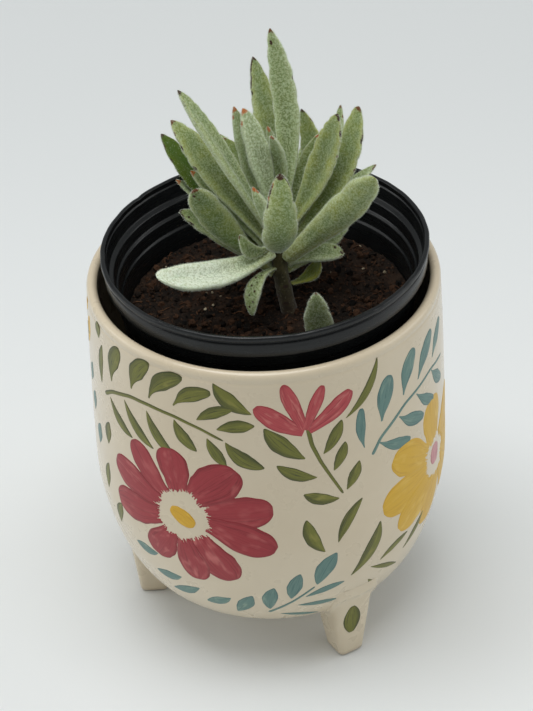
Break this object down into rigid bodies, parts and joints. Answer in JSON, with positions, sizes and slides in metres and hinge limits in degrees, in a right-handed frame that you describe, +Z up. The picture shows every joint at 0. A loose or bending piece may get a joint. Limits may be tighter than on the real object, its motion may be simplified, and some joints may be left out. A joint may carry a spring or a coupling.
{
  "type": "potted kalanchoe",
  "caption": "Young felted succulent in a black plastic nursery pot, standing inside a hand-painted, glazed ceramic planter on three feet.",
  "frame": {"origin": "on the surface that the feet stand on, under the middle of the planter", "axes": "+Z up, -Y to the front, +X to the right"},
  "size_m": [0.1666, 0.1666, 0.2939],
  "materials": {
    "glazed_ceramic": "cream gloss glaze with hand-painted flowers and leaf sprigs",
    "black_plastic": "thin moulded plastic, satin, a little scuffed on the lip",
    "potting_mix": "matt crumbly potting soil with bark bits and perlite",
    "stem": "matt green-brown plant stem",
    "leaf_felt": "silver-green felted leaf, fine white hairs, brown marks on the margin"
  },
  "bodies": {
    "root": {"ceramic_planter": "glazed_ceramic", "nursery_pot": "black_plastic", "soil": "potting_mix", "stem": "stem", "leaf_01": "leaf_felt", "leaf_02": "leaf_felt", "leaf_03": "leaf_felt", "leaf_04": "leaf_felt", "leaf_05": "leaf_felt", "leaf_06": "leaf_felt", "leaf_07": "leaf_felt", "leaf_08": "leaf_felt", "leaf_09": "leaf_felt", "leaf_10": "leaf_felt", "leaf_11": "leaf_felt", "leaf_12": "leaf_felt", "leaf_13": "leaf_felt", "leaf_14": "leaf_felt", "leaf_15": "leaf_felt", "leaf_16": "leaf_felt", "leaf_17": "leaf_felt", "leaf_18": "leaf_felt", "leaf_19": "leaf_felt", "leaf_20": "leaf_felt", "leaf_21": "leaf_felt", "leaf_22": "leaf_felt", "leaf_23": "leaf_felt", "leaf_24": "leaf_felt", "leaf_25": "leaf_felt", "leaf_26": "leaf_felt", "leaf_27": "leaf_felt", "leaf_28": "leaf_felt", "leaf_29": "leaf_felt", "leaf_30": "leaf_felt", "leaf_31": "leaf_felt", "leaf_32": "leaf_felt", "fallen_leaf": "leaf_felt"}
  },
  "joints": []
}
